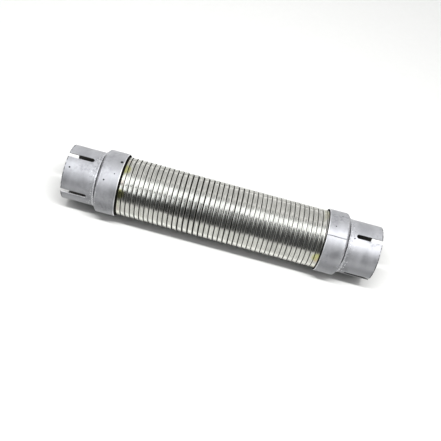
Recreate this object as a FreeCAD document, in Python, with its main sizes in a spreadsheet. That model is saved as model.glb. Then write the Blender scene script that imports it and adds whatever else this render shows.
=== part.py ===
import FreeCAD, Part
import Sketcher

import math
import os

# Flexible exhaust pipe for a heavy vehicle.
# A hose wound from one steel strip joins two end fittings. Each fitting is a slotted tube that
# slips over a pipe, and a collar with a conical shoulder that covers the end of the hose.
# The pipe lies along X with the middle of its axis at the origin. -X is the inlet, +X the outlet.
# Each piece of a fitting is drawn with the collar's neck rim at x = 0 and the mouth towards +X.

# The driving sizes: name, value in millimetres or degrees, what it measures.
DRIVING_SIZES = (
    ("pipe_bore_diameter", 102.4, "bore of the end tubes, which slip over a 101.6 mm pipe"),
    ("tube_wall", 1.8, "sheet of the end tubes"),
    ("tube_exposed", 64.6, "end tube, from its mouth to the neck rim"),
    ("tube_reach", 36.0, "end tube, from the neck rim to its hidden end inside the hose"),
    ("slot_width", 8.4, "clamping slot, across"),
    ("slot_length", 50.0, "clamping slot, from the mouth to the top of its round end"),
    ("slot_spacing", 98.3, "from one slot cut to the other, each cut going through both walls"),
    ("slot_overrun", 2.0, "how far the slot's cut passes the mouth"),
    ("inlet_slot_turn", -0.1, "first inlet slot, turned from the top towards the front"),
    ("outlet_slot_turn", 9.0, "first outlet slot, turned from the top towards the front"),
    ("collar_gap", 2.4, "radial gap between the hose and the collar round its end"),
    ("collar_wall", 1.8, "sheet of the collar"),
    ("collar_length", 36.8, "round part of the collar"),
    ("shoulder_angle", 50.0, "slope of the collar's shoulder against the axis"),
    ("seam_width", 1.6, "weld seam along the rolled collar, across"),
    ("seam_height", 0.3, "weld seam, above the collar's skin"),
    ("inlet_seam_turn", 215.0, "inlet seam, turned from the top towards the front"),
    ("outlet_seam_turn", 24.0, "outlet seam, turned from the top towards the front"),
    ("hose_wall", 4.55, "wound strip from the bore to its outside, folds included"),
    ("hose_visible", 398.0, "hose between the two collars"),
    ("hose_insertion", 36.0, "hose hidden inside each collar"),
    ("strip_pitch", 9.1, "one turn of the strip along the axis, where the turns lie close"),
    ("wide_spread_place", -63.2, "middle of the long stretch of drawn-out turns, along the axis"),
    ("wide_spread_reach", 39.5, "how far to each side that stretch goes"),
    ("wide_spread_gain", 1.37, "what a turn in its middle has over the close pitch"),
    ("short_spread_place", 14.7, "middle of the short stretch of drawn-out turns, along the axis"),
    ("short_spread_reach", 15.0, "how far to each side that stretch goes"),
    ("short_spread_gain", 1.0, "what a turn in its middle has over the close pitch"),
    ("strip_step", 1.2, "drop from one turn's edge to the next turn"),
    ("strip_fold", 1.4, "folded edge of each turn, along the axis"),
    ("strip_cover", 4.2, "stepped turns that run on inside the inlet collar"),
    ("slip_gap", 0.1, "radial gap between pieces that slide over each other"),
    ("neck_weld_run", 5.2, "weld round the neck, along the tube"),
    ("neck_weld_rise", 2.4, "weld round the neck, up the rim"),
    ("hose_weld_leg", 2.8, "hidden weld that holds the hose on the tube"),
    ("weld_gap", 0.05, "radial gap under a weld ring"),
)

# Sizes that follow from the driving ones: name, formula, what it measures.
DERIVED_SIZES = (
    ("tube_inner_radius", "pipe_bore_diameter / 2", "bore radius of the end tubes"),
    ("tube_outer_radius", "tube_inner_radius + tube_wall", "outside of the end tubes"),
    ("weld_seat_radius", "tube_outer_radius + weld_gap", "inside of both weld rings"),
    ("hose_bore_radius", "tube_outer_radius + slip_gap", "inside of the hose, which slips over the tubes"),
    ("hose_top_radius", "hose_bore_radius + hose_wall", "outside of the wound strip"),
    ("hose_root_radius", "hose_top_radius - strip_step", "foot of each step"),
    ("neck_inner_radius", "tube_outer_radius + slip_gap", "hole in the collar's neck"),
    ("neck_outer_radius", "neck_inner_radius + collar_wall / cos(shoulder_angle)", "edge of the neck rim"),
    ("collar_inner_radius", "hose_top_radius + collar_gap", "inside of the collar"),
    ("collar_outer_radius", "collar_inner_radius + collar_wall", "outside of the collar"),
    (
        "shoulder_length",
        "(collar_outer_radius - neck_outer_radius) / tan(shoulder_angle)",
        "shoulder along the axis",
    ),
    ("bend_shift", "collar_wall * tan(shoulder_angle / 2)", "inner bend line against the outer one"),
    ("seam_shift", "seam_height * tan(shoulder_angle / 2)", "seam's bend line against the skin's"),
    ("seam_rise", "seam_height / cos(shoulder_angle)", "seam over the neck rim, radially"),
    ("seam_angle", "seam_width / collar_outer_radius * 180 / pi", "weld seam round the collar"),
    ("collar_depth", "shoulder_length + collar_length", "neck rim to the collar's mouth"),
    ("neck_position", "hose_visible / 2 + collar_depth", "middle of the pipe to a neck rim"),
    ("hose_end_depth", "collar_depth - hose_insertion", "neck rim to the hidden end of the hose"),
    ("hose_length", "hose_visible + 2 * hose_insertion", "hose from end to end"),
)

ENDS = ("inlet", "outlet")
LAY_ALONG_X = FreeCAD.Placement(FreeCAD.Vector(0, 0, 0), FreeCAD.Rotation(FreeCAD.Vector(0, 1, 0), 90))


def make_sheet(document):
    """Write every size to the spreadsheet, one row each, with its name as the cell's alias."""
    sheet = document.addObject("Spreadsheet::Sheet", "Sizes")
    rows = [(name, str(value), meaning) for name, value, meaning in DRIVING_SIZES]
    rows += [(name, "=" + formula, meaning) for name, formula, meaning in DERIVED_SIZES]
    for number, (name, content, meaning) in enumerate(rows, start=1):
        sheet.set(f"A{number}", name)
        sheet.set(f"B{number}", content)
        sheet.set(f"C{number}", meaning)
        sheet.setAlias(f"B{number}", name)
    document.recompute()
    return sheet


def make_body(document, name):
    """Start a body whose label is the name of the piece."""
    body = document.addObject("PartDesign::Body", name)
    body.Label = name
    return body


def make_sketch(body, name, plane_role):
    """Add an empty sketch on one of the body's own origin planes."""
    sketch = body.newObject("Sketcher::SketchObject", name)
    plane = next(item for item in body.Origin.OriginFeatures if item.Role == plane_role)
    sketch.AttachmentSupport = [(plane, "")]
    sketch.MapMode = "FlatFace"
    return sketch


def dimension(sketch, kind, *target):
    """Add a dimension, the last item of the target being the formula that drives it."""
    *where, formula = target
    value = sketch.evalExpression(formula)
    index = sketch.addConstraint(Sketcher.Constraint(kind, *where, float(value)))
    sketch.setExpression(f"Constraints[{index}]", formula)


def draw_outline(sketch, corners):
    """Draw a closed outline through corners that are given as formulas for x and y.

    Neighbours that share a formula get a vertical or horizontal line between them. Each of the
    other coordinates is dimensioned from the sketch's origin.
    """
    places = [[float(sketch.evalExpression(formula)) for formula in corner] for corner in corners]
    count = len(corners)
    for number in range(count):
        start = FreeCAD.Vector(*places[number], 0)
        end = FreeCAD.Vector(*places[(number + 1) % count], 0)
        sketch.addGeometry(Part.LineSegment(start, end), False)
    for number, corner in enumerate(corners):
        following = (number + 1) % count
        sketch.addConstraint(Sketcher.Constraint("Coincident", number, 2, following, 1))
        for axis, square in enumerate(("Vertical", "Horizontal")):
            if corners[following][axis] == corner[axis]:
                sketch.addConstraint(Sketcher.Constraint(square, number))
            closes_square = number == count - 1 and corners[0][axis] == corner[axis]
            follows_square = number > 0 and corners[number - 1][axis] == corner[axis]
            if not (closes_square or follows_square):
                kind = ("DistanceX", "DistanceY")[axis]
                dimension(sketch, kind, -1, 1, number, 1, corner[axis])


def revolve(body, name, sketch, angle_formula=None):
    """Turn a sketch about its own horizontal axis, all the way round unless an angle is given."""
    turned = body.newObject("PartDesign::Revolution", name)
    turned.Profile = sketch
    turned.ReferenceAxis = (sketch, ["H_Axis"])
    turned.Angle = 360
    if angle_formula:
        turned.Midplane = True
        turned.setExpression("Angle", angle_formula)
    sketch.Visibility = False
    return turned


def place_at_end(body, end, turn_formula="0"):
    """Put a fitting's piece at its end of the pipe, turned about the pipe's axis."""
    place = "vector(Sizes.neck_position; 0; 0)"
    turn = f"rotationx({turn_formula})"
    if end == "inlet":
        place = "vector(-Sizes.neck_position; 0; 0)"
        turn += " * rotationz(180)"
    body.setExpression("Placement", f"placement({place}; {turn})")


def draw_slot(sketch):
    """Draw one clamping slot, open past the mouth and round at its inner end."""
    middle = "Sizes.tube_exposed - Sizes.slot_length + Sizes.slot_width / 2"
    outer = "Sizes.tube_exposed + Sizes.slot_overrun"
    half = float(sketch.evalExpression("Sizes.slot_width / 2"))
    near = float(sketch.evalExpression(middle))
    far = float(sketch.evalExpression(outer))
    corners = (
        FreeCAD.Vector(near, -half, 0),
        FreeCAD.Vector(far, -half, 0),
        FreeCAD.Vector(far, half, 0),
        FreeCAD.Vector(near, half, 0),
    )
    for start, end in zip(corners, corners[1:]):
        sketch.addGeometry(Part.LineSegment(start, end), False)
    round_end = Part.Circle(FreeCAD.Vector(near, 0, 0), FreeCAD.Vector(0, 0, 1), half)
    arc = sketch.addGeometry(Part.ArcOfCircle(round_end, math.pi / 2, math.pi * 3 / 2), False)
    sketch.addConstraint(Sketcher.Constraint("Coincident", 0, 2, 1, 1))
    sketch.addConstraint(Sketcher.Constraint("Coincident", 1, 2, 2, 1))
    sketch.addConstraint(Sketcher.Constraint("Tangent", 2, 2, arc, 1))
    sketch.addConstraint(Sketcher.Constraint("Tangent", arc, 2, 0, 1))
    sketch.addConstraint(Sketcher.Constraint("Horizontal", 0))
    sketch.addConstraint(Sketcher.Constraint("Vertical", 1))
    sketch.addConstraint(Sketcher.Constraint("PointOnObject", arc, 3, -1))
    dimension(sketch, "Radius", arc, "Sizes.slot_width / 2")
    dimension(sketch, "DistanceX", -1, 1, arc, 3, middle)
    dimension(sketch, "DistanceX", -1, 1, 1, 1, outer)


def make_slotted_tube(document, end):
    """The tube that slips over a pipe, with slots so that a clamp can draw it tight."""
    body = make_body(document, f"{end}_slotted_tube")
    wall = make_sketch(body, f"{end}_tube_wall", "XZ_Plane")
    draw_outline(
        wall,
        (
            ("-Sizes.tube_reach", "Sizes.tube_inner_radius"),
            ("Sizes.tube_exposed", "Sizes.tube_inner_radius"),
            ("Sizes.tube_exposed", "Sizes.tube_outer_radius"),
            ("-Sizes.tube_reach", "Sizes.tube_outer_radius"),
        ),
    )
    revolve(body, f"{end}_tube_roll", wall)
    document.recompute()
    slot_sketch = make_sketch(body, f"{end}_slot_shape", "XY_Plane")
    draw_slot(slot_sketch)
    slot = body.newObject("PartDesign::Pocket", f"{end}_slot")
    slot.Profile = slot_sketch
    slot.Type = "ThroughAll"
    slot.SideType = "Symmetric"
    slot_sketch.Visibility = False
    document.recompute()
    ring = body.newObject("PartDesign::PolarPattern", f"{end}_slots")
    ring.Originals = [slot]
    ring.Axis = (slot_sketch, ["H_Axis"])
    ring.Occurrences = 2
    ring.setExpression("Angle", "Sizes.slot_spacing")
    body.Tip = ring
    place_at_end(body, end, f"Sizes.{end}_slot_turn")
    return body


def make_collar(document, end):
    """The rolled collar: a round part over the hose's end and a shoulder down to the tube."""
    body = make_body(document, f"{end}_collar")
    wall = make_sketch(body, f"{end}_collar_wall", "XZ_Plane")
    draw_outline(
        wall,
        (
            ("0", "Sizes.neck_inner_radius"),
            ("0", "Sizes.neck_outer_radius"),
            ("-Sizes.shoulder_length", "Sizes.collar_outer_radius"),
            ("-Sizes.collar_depth", "Sizes.collar_outer_radius"),
            ("-Sizes.collar_depth", "Sizes.collar_inner_radius"),
            ("-Sizes.shoulder_length - Sizes.bend_shift", "Sizes.collar_inner_radius"),
        ),
    )
    revolve(body, f"{end}_collar_roll", wall)
    document.recompute()
    # The seam's outline starts in the middle of the sheet, so that it joins the wall all along.
    seam = make_sketch(body, f"{end}_seam_shape", "XZ_Plane")
    draw_outline(
        seam,
        (
            ("0", "Sizes.neck_outer_radius - Sizes.collar_wall / 2"),
            ("0", "Sizes.neck_outer_radius + Sizes.seam_rise"),
            ("-Sizes.shoulder_length - Sizes.seam_shift", "Sizes.collar_outer_radius + Sizes.seam_height"),
            ("-Sizes.collar_depth", "Sizes.collar_outer_radius + Sizes.seam_height"),
            ("-Sizes.collar_depth", "Sizes.collar_outer_radius - Sizes.collar_wall / 2"),
            ("-Sizes.shoulder_length", "Sizes.collar_outer_radius - Sizes.collar_wall / 2"),
        ),
    )
    revolve(body, f"{end}_seam", seam, "Sizes.seam_angle")
    place_at_end(body, end, f"Sizes.{end}_seam_turn")
    return body


def make_weld_ring(document, name, end, foot, run, rise):
    """A fillet weld round the tube, from formulas for its foot, its run along it and its rise."""
    body = make_body(document, name)
    section = make_sketch(body, f"{name}_section", "XZ_Plane")
    draw_outline(
        section,
        (
            (foot, "Sizes.weld_seat_radius"),
            (f"{foot} + {run}", "Sizes.weld_seat_radius"),
            (foot, f"Sizes.weld_seat_radius + {rise}"),
        ),
    )
    revolve(body, f"{name}_run", section)
    place_at_end(body, end)
    return body


def helix_turn(radius, start, pitch):
    """One turn of a right-handed helix about Z, from angle 0 at height start."""
    turn = Part.Wire(Part.makeHelix(pitch, pitch, radius).Edges)
    turn.translate(FreeCAD.Vector(0, 0, start))
    return turn.Edges[0]


def half_circles(radius, height):
    """A circle about Z in two halves, so that no face of the hose closes on itself."""
    centre = FreeCAD.Vector(0, 0, height)
    axis = FreeCAD.Vector(0, 0, 1)
    return [Part.makeCircle(radius, centre, axis, start, start + 180) for start in (0, 180)]


def half_turns(turn):
    """The two halves of one turn of a helix."""
    middle = (turn.FirstParameter + turn.LastParameter) / 2
    return [
        turn.Curve.toShape(turn.FirstParameter, middle),
        turn.Curve.toShape(middle, turn.LastParameter),
    ]


def strip_pitch_at(sheet, place):
    """The pitch at a place along the axis: the close pitch and a bell-shaped gain at each stretch."""
    wide = (place - sheet.wide_spread_place) / sheet.wide_spread_reach
    short = (place - sheet.short_spread_place) / sheet.short_spread_reach
    gain = sheet.wide_spread_gain * math.exp(-wide * wide)
    gain += sheet.short_spread_gain * math.exp(-short * short)
    return sheet.strip_pitch + gain


def strip_feet(sheet):
    """Where each turn of the strip starts along the axis, until the turns pass the outlet collar's mouth.

    The last place is one turn further on, where the last turn's own edge ends.
    """
    mouth = sheet.hose_visible / 2
    feet = [-mouth - sheet.strip_cover]
    while feet[-1] < mouth:
        feet.append(feet[-1] + strip_pitch_at(sheet, feet[-1]))
    feet.append(feet[-1] + strip_pitch_at(sheet, feet[-1]))
    return feet


def strip_end_face(sheet, foot, next_foot):
    """The cut end of the strip, a thin triangle between one turn's slope and its folded edge."""
    corners = [
        FreeCAD.Vector(sheet.hose_root_radius, 0, foot),
        FreeCAD.Vector(sheet.hose_top_radius, 0, next_foot - sheet.strip_fold),
        FreeCAD.Vector(sheet.hose_root_radius, 0, next_foot),
    ]
    return Part.Face(Part.makePolygon(corners + corners[:1]))


def plain_wall(sheet, turn, height):
    """The two halves of the round wall between the strip's last turn and the rim at a height."""
    surface = Part.Cylinder()
    surface.Radius = sheet.hose_root_radius
    faces = []
    for rim, edge in zip(half_circles(sheet.hose_root_radius, height), half_turns(turn)):
        sides = [Part.makeLine(rim.Vertexes[end].Point, edge.Vertexes[end].Point) for end in (0, -1)]
        outline = Part.sortEdges([rim, edge] + sides)[0]
        face = Part.Face(surface, Part.Wire(outline))
        face.validate()
        faces.append(face)
    return faces


def rim_face(sheet, height):
    """The flat rim of the hose at a height."""
    outer = Part.Wire(half_circles(sheet.hose_root_radius, height))
    inner = Part.Wire(half_circles(sheet.hose_bore_radius, height))
    return Part.makeFace([outer, inner], "Part::FaceMakerBullseye")


def hose_faces(sheet):
    """Every face of the wound hose, standing about Z.

    Each turn of the strip is a slope that rises from the root to the top, and a folded edge
    back down to the root, where the next turn starts. The strip runs on under the collars, and
    a plain wall follows it to the hidden ends.
    """
    feet = strip_feet(sheet)
    roots = [
        helix_turn(sheet.hose_root_radius, start, end - start) for start, end in zip(feet, feet[1:])
    ]
    tops = [
        helix_turn(sheet.hose_top_radius, start - sheet.strip_fold, end - start)
        for start, end in zip(feet[1:], feet[2:])
    ]
    faces = []
    for foot, top, next_foot in zip(roots, tops, roots[1:]):
        faces.append(Part.makeRuledSurface(foot, top))
        faces.append(Part.makeRuledSurface(top, next_foot))
    faces.append(strip_end_face(sheet, *feet[:2]))
    faces.append(strip_end_face(sheet, *feet[-2:]))
    half = sheet.hose_length / 2
    for turn, height in ((roots[0], -half), (roots[-1], half)):
        faces += plain_wall(sheet, turn, height)
        faces.append(rim_face(sheet, height))
    for arc in half_circles(sheet.hose_bore_radius, -half):
        faces.append(arc.extrude(FreeCAD.Vector(0, 0, sheet.hose_length)))
    return faces


def make_hose(document, sheet):
    """The hose as one solid, because the real one is a single strip from end to end."""
    skin = Part.Compound(hose_faces(sheet))
    skin.sewShape()
    solid = Part.makeSolid(skin)
    if solid.Volume < 0:
        solid.reverse()
    hose = document.addObject("Part::Feature", "interlock_hose")
    hose.Label = "interlock_hose"
    hose.Shape = solid
    hose.Placement = LAY_ALONG_X
    return hose


def build_pieces(document, sheet):
    """Make every piece of the pipe and return them in a list."""
    pieces = [make_hose(document, sheet)]
    for end in ENDS:
        pieces.append(make_slotted_tube(document, end))
        pieces.append(make_collar(document, end))
        neck = ("0", "Sizes.neck_weld_run", "Sizes.neck_weld_rise")
        pieces.append(make_weld_ring(document, f"{end}_neck_weld", end, *neck))
        hidden = ("-Sizes.hose_end_depth", "Sizes.hose_weld_leg", "Sizes.hose_weld_leg")
        pieces.append(make_weld_ring(document, f"{end}_hose_weld", end, *hidden))
    document.recompute()
    return pieces


def check_pieces(document, pieces):
    """Stop with the names of the objects that failed or the pieces that are no closed solid."""
    failed = [item.Name for item in document.Objects if {"Invalid", "Error"} & set(item.State)]
    for piece in pieces:
        shape = piece.Shape
        if shape.isNull() or not shape.isValid() or len(shape.Solids) != 1 or shape.Volume <= 0:
            failed.append(piece.Label)
    if failed:
        raise RuntimeError("failed: " + ", ".join(failed))


def main():
    """Build the pipe and write one file for each piece."""
    document = FreeCAD.newDocument("flexible_exhaust_pipe")
    sheet = make_sheet(document)
    pieces = build_pieces(document, sheet)
    check_pieces(document, pieces)
    os.makedirs("parts", exist_ok=True)
    for piece in pieces:
        piece.Shape.exportStep(os.path.join("parts", piece.Label + ".step"))
        box = piece.Shape.BoundBox
        print(
            f"{piece.Label}: volume {piece.Shape.Volume:.0f} mm3,"
            f" x {box.XMin:.2f} to {box.XMax:.2f}, widest {max(box.YLength, box.ZLength):.2f}"
        )


main()
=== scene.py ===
"""Looks of a flexible exhaust pipe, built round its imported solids.

The pipe lies along X with its inlet at -X and its outlet at +X, and rests on its two collars.
Sizes are in metres. A turn is an angle about the pipe's axis, from the top towards the front (-Y).
"""

import logging
import math
from dataclasses import dataclass
from enum import Enum
from functools import cached_property
from typing import ClassVar

import bmesh
import bpy
import numpy as np
from bpy.types import ID, Material, Node, NodeSocket, NodeTree, Object
from mathutils import Matrix, Vector


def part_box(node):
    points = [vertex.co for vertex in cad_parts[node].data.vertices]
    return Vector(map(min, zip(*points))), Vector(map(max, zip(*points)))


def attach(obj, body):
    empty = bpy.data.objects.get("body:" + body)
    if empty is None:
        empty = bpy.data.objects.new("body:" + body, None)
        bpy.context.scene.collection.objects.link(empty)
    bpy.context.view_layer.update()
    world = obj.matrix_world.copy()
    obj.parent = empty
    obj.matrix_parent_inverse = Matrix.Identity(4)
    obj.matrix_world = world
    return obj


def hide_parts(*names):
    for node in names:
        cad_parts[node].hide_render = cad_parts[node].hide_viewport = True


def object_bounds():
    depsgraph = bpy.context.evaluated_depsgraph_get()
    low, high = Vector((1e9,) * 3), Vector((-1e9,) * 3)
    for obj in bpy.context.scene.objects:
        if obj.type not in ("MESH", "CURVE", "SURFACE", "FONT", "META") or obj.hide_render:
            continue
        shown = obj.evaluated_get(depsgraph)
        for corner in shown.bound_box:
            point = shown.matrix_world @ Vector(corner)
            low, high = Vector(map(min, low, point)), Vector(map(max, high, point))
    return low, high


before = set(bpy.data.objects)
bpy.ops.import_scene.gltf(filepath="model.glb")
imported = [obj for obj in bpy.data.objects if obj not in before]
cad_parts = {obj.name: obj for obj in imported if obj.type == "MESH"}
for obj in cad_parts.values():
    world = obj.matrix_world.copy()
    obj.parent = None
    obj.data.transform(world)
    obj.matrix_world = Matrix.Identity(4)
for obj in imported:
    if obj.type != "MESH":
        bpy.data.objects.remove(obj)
CAD_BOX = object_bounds()

LOG = logging.getLogger("exhaust_pipe")
MM = 0.001
TO_MM = 1000.0
FULL_TURN = 2 * math.pi
ROOT_BODY = "root"
MAP_NAME = "surface"
GAPING_SIDE = (0.0, -0.454, 0.891)

Box = tuple[Vector, Vector]
Colour = tuple[float, float, float, float]
Span = tuple[float, float]
Triple = tuple[float, float, float]
Tint = Colour | NodeSocket
Value = float | NodeSocket


class End(Enum):
    """The two ends of the pipe, each with the way its mouth faces along X."""

    INLET = -1
    OUTLET = 1

    @property
    def word(self) -> str:
        """The end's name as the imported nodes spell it."""
        return self.name.lower()

    def sides(self, box: Box) -> Span:
        """The x of a box's sides: towards the middle of the pipe, and towards this end's mouth."""
        return (box[0].x, box[1].x)[:: self.value]


class Slot(Enum):
    """The material slots."""

    STRIP = "bright_strip"
    PAINT = "silver_paint"
    PAINTED_WELD = "painted_weld"
    BARE_WELD = "bare_weld"


def shade(red: float, green: float, blue: float) -> Colour:
    """A colour with full alpha, from linear red, green and blue."""
    return (red, green, blue, 1.0)


def on_pipe(along: np.ndarray, radius: np.ndarray, turn: np.ndarray) -> np.ndarray:
    """Places points round the pipe: x is the place along, y and z come from radius and turn.

    Args:
        along: Places along X.
        radius: Distances from the axis.
        turn: Angles from the top towards the front, in radians.

    Returns:
        Points with x, y and z in the last axis.
    """
    along, radius, turn = np.broadcast_arrays(along, radius, turn)
    return np.stack((along, -radius * np.sin(turn), radius * np.cos(turn)), axis=-1)


def on_chart(first: np.ndarray, second: np.ndarray) -> np.ndarray:
    """Pairs two map coordinates over the same rows and columns."""
    return np.stack(np.broadcast_arrays(first, second), axis=-1)


def smooth_step(value: np.ndarray) -> np.ndarray:
    """Rises from 0 to 1 as value does, with level ends: 3 v squared minus 2 v cubed."""
    held = np.clip(value, 0.0, 1.0)
    return held * held * (3.0 - 2.0 * held)


def ripple(turn: np.ndarray, waves: tuple[int, ...], seed: int) -> np.ndarray:
    """Sums sines of whole wave counts round the pipe, each with a seeded phase and height.

    Args:
        turn: Angles in radians.
        waves: How many waves each sine has in a full turn.
        seed: Seed of the phases and heights.

    Returns:
        The sum, scaled so that it stays between -1 and 1.
    """
    random = np.random.default_rng(seed)
    phases = random.uniform(0.0, FULL_TURN, len(waves))
    heights = random.uniform(0.5, 1.0, len(waves))
    parts = [height * np.sin(count * turn + phase) for count, phase, height in zip(waves, phases, heights)]
    return sum(parts) / heights.sum()


def round_corners(corners: list[Triple], steps: int) -> np.ndarray:
    """Rounds the corners of a closed outline with arcs.

    At each corner the arc touches both sides at radius / tan(half the corner's angle) from it.

    Args:
        corners: Outline corners as x, y and the radius of their rounding.
        steps: Points on each arc, less one.

    Returns:
        The outline's points, two numbers each.
    """
    points = []
    count = len(corners)
    for index, (x, y, radius) in enumerate(corners):
        corner = np.array((x, y))
        before = np.array(corners[index - 1][:2]) - corner
        after = np.array(corners[(index + 1) % count][:2]) - corner
        before /= np.linalg.norm(before)
        after /= np.linalg.norm(after)
        half = math.acos(float(np.clip(before @ after, -1.0, 1.0))) / 2
        middle = corner + (before + after) / np.linalg.norm(before + after) * radius / math.sin(half)
        first = corner + before * radius / math.tan(half) - middle
        last = corner + after * radius / math.tan(half) - middle
        sweep = math.atan2(first[0] * last[1] - first[1] * last[0], float(first @ last))
        angles = np.linspace(0.0, sweep, steps + 1)
        across = first[0] * np.cos(angles) - first[1] * np.sin(angles)
        up = first[0] * np.sin(angles) + first[1] * np.cos(angles)
        points.append(middle + np.stack((across, up), axis=-1))
    return np.concatenate(points)


def spread(points: np.ndarray, longest: float) -> np.ndarray:
    """Adds points on the long sides of a closed outline, evenly spaced.

    Args:
        points: The outline's points.
        longest: The longest side that stays whole.

    Returns:
        The outline with its long sides divided.
    """
    following = np.roll(points, -1, axis=0)
    parts = np.maximum(1, np.ceil(np.linalg.norm(following - points, axis=1) / longest).astype(int))
    sides = [
        start + (end - start) * np.linspace(0.0, 1.0, number, endpoint=False)[:, None]
        for start, end, number in zip(points, following, parts)
    ]
    return np.concatenate(sides)


def add_to_scene(name: str, data: ID) -> Object:
    """Makes an object of a mesh, a light or a camera's lens and puts it in the scene.

    Args:
        name: The object's name.
        data: The mesh, light or lens.

    Returns:
        The object.
    """
    thing = bpy.data.objects.new(name, data)
    bpy.context.scene.collection.objects.link(thing)
    return thing


class Skin:
    """A mesh in the making: grids of points with their map coordinates, merged at the end."""

    def __init__(self, name: str) -> None:
        """Starts an empty mesh.

        Args:
            name: The piece's name.
        """
        self.name = name
        self.points: list[np.ndarray] = []
        self.faces: list[np.ndarray] = []
        self.maps: list[np.ndarray] = []
        self.count = 0

    def add_grid(self, points: np.ndarray, chart: np.ndarray, flip: bool = False) -> None:
        """Adds a grid of four-sided faces.

        A face points outwards where rows go round with the turn and columns go along +X.

        Args:
            points: Points in rows and columns.
            chart: Map coordinates in metres, in the same rows and columns.
            flip: Whether the faces point the other way.
        """
        rows, columns = points.shape[:2]
        index = np.arange(rows * columns).reshape(rows, columns) + self.count
        ring = [(slice(None, -1), slice(None, -1)), (slice(1, None), slice(None, -1))]
        ring += [(slice(1, None), slice(1, None)), (slice(None, -1), slice(1, None))]
        if flip:
            ring.reverse()
        self.faces.append(np.stack([index[cut] for cut in ring], axis=-1).reshape(-1, 4))
        self.maps.append(np.stack([chart[cut] for cut in ring], axis=-2).reshape(-1, 2))
        self.points.append(points.reshape(-1, 3))
        self.count += rows * columns

    def finish(self, merge: float = 0.001 * MM) -> Object:
        """Makes the object: grids joined where their points meet, smooth all over.

        Args:
            merge: Points nearer than this become one, which also clears faces with no area.

        Returns:
            The new object, at the origin.
        """
        mesh = bpy.data.meshes.new(self.name)
        points = np.concatenate(self.points).astype(np.float32)
        faces = np.concatenate(self.faces).astype(np.int32)
        mesh.vertices.add(len(points))
        mesh.vertices.foreach_set("co", points.ravel())
        mesh.loops.add(faces.size)
        mesh.loops.foreach_set("vertex_index", faces.ravel())
        mesh.polygons.add(len(faces))
        mesh.polygons.foreach_set("loop_start", np.arange(0, faces.size, 4, dtype=np.int32))
        mesh.update(calc_edges=True)
        layer = mesh.uv_layers.new(name=MAP_NAME)
        layer.data.foreach_set("uv", np.concatenate(self.maps).astype(np.float32).ravel())
        work = bmesh.new()
        work.from_mesh(mesh)
        bmesh.ops.remove_doubles(work, verts=work.verts, dist=merge)
        work.to_mesh(mesh)
        work.free()
        mesh.polygons.foreach_set("use_smooth", np.ones(len(mesh.polygons), dtype=bool))
        mesh.validate()
        return add_to_scene(self.name, mesh)


def dress(piece: Object, skin: Material, node: str) -> Object:
    """Gives a piece its finish and puts it in its node's place on the pipe.

    Args:
        piece: The piece.
        skin: Its material.
        node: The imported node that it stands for.

    Returns:
        The piece.
    """
    piece.data.materials.append(skin)
    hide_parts(node)
    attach(piece, ROOT_BODY)
    return piece


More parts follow.
